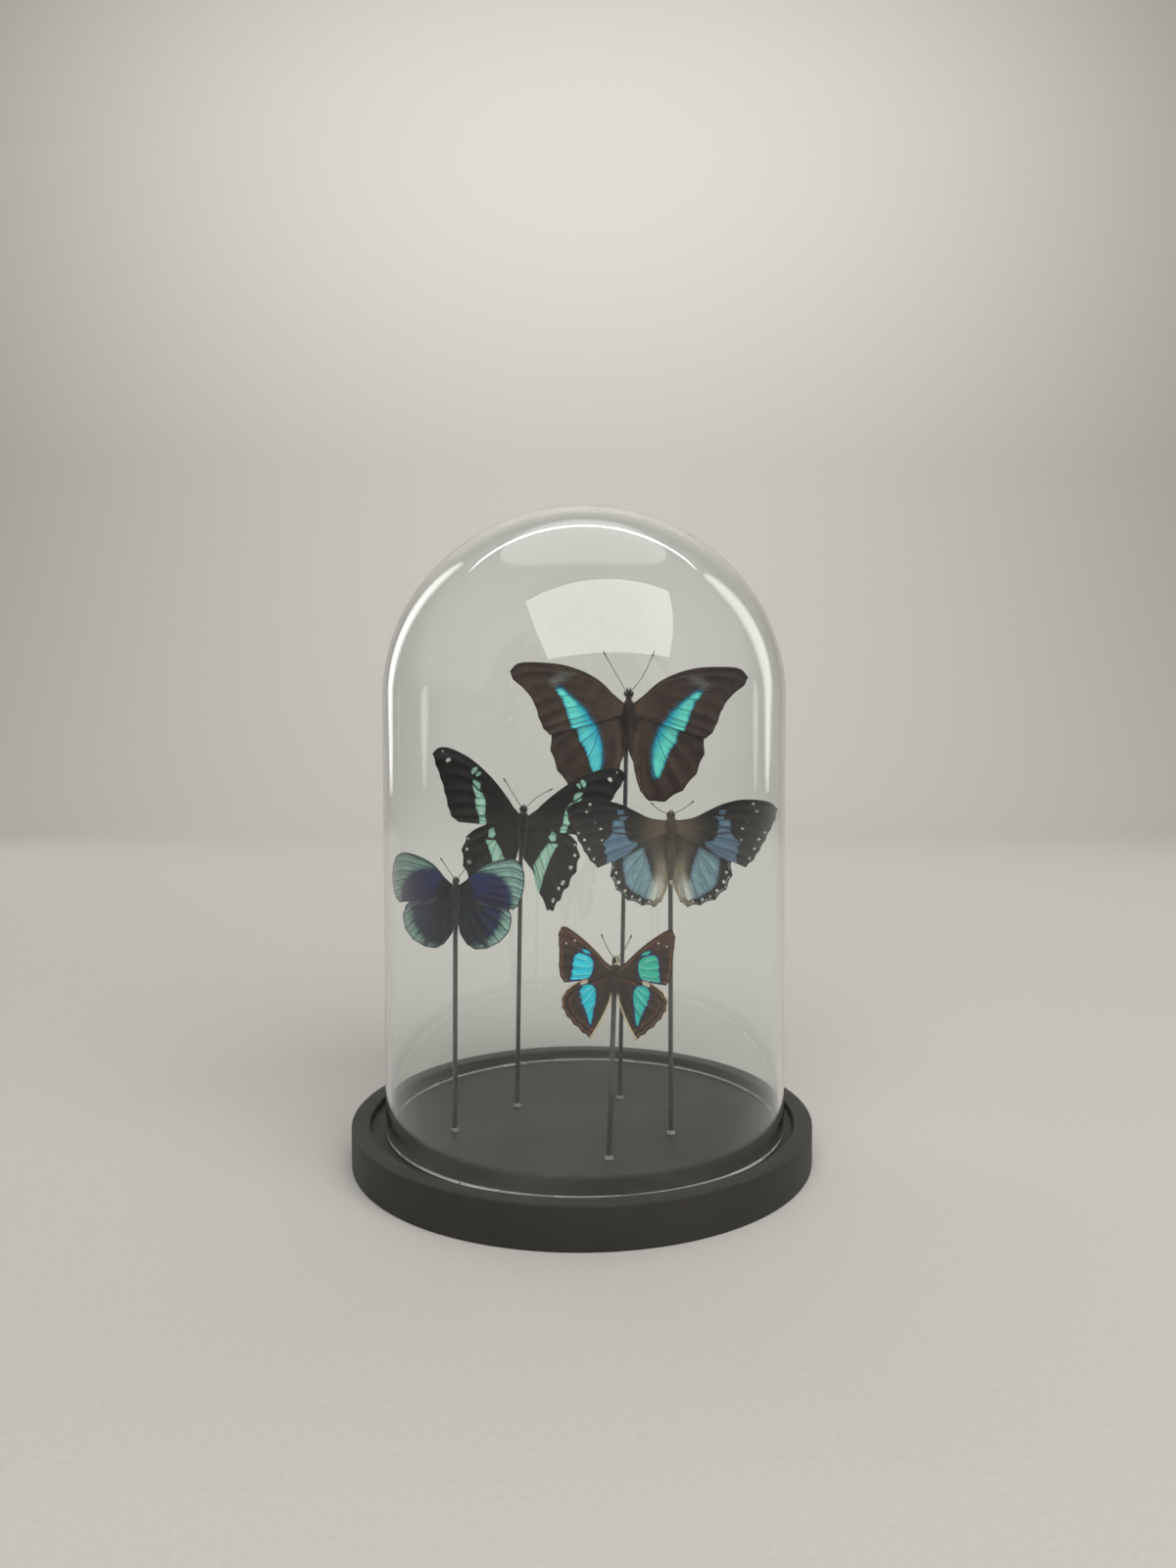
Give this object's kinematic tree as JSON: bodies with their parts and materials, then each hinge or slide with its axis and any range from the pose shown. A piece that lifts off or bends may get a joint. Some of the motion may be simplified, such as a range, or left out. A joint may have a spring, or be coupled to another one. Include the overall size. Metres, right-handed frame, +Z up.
{
  "type": "butterflies in glass dome",
  "caption": "Set butterflies on thin steel rods under a tall clear glass dome, standing in the recess of a round black base.",
  "frame": {"origin": "centre of the base's underside, where it rests", "axes": "+Z up along the dome, -Y towards the front, which the butterflies' upper sides face, +X to the right seen from the front"},
  "size_m": [0.2, 0.2, 0.28],
  "materials": {
    "painted_board": "satin black paint",
    "glass": "clear, polished",
    "steel_rod": "dull grey",
    "prepona_scales": "matt",
    "swallowtail_scales": "matt",
    "eggfly_scales": "matt",
    "asterope_scales": "matt",
    "emperor_scales": "matt"
  },
  "bodies": {
    "root": {"base_disc": "painted_board", "glass_dome": "glass", "prepona_rod": "steel_rod", "prepona_body": "prepona_scales", "prepona_left_forewing": "prepona_scales", "prepona_left_hindwing": "prepona_scales", "prepona_right_forewing": "prepona_scales", "prepona_right_hindwing": "prepona_scales", "swallowtail_rod": "steel_rod", "swallowtail_body": "swallowtail_scales", "swallowtail_left_forewing": "swallowtail_scales", "swallowtail_left_hindwing": "swallowtail_scales", "swallowtail_right_forewing": "swallowtail_scales", "swallowtail_right_hindwing": "swallowtail_scales", "eggfly_rod": "steel_rod", "eggfly_body": "eggfly_scales", "eggfly_left_forewing": "eggfly_scales", "eggfly_left_hindwing": "eggfly_scales", "eggfly_right_forewing": "eggfly_scales", "eggfly_right_hindwing": "eggfly_scales", "asterope_rod": "steel_rod", "asterope_body": "asterope_scales", "asterope_left_forewing": "asterope_scales", "asterope_left_hindwing": "asterope_scales", "asterope_right_forewing": "asterope_scales", "asterope_right_hindwing": "asterope_scales", "emperor_rod": "steel_rod", "emperor_body": "emperor_scales", "emperor_left_forewing": "emperor_scales", "emperor_left_hindwing": "emperor_scales", "emperor_right_forewing": "emperor_scales", "emperor_right_hindwing": "emperor_scales"}
  },
  "joints": []
}
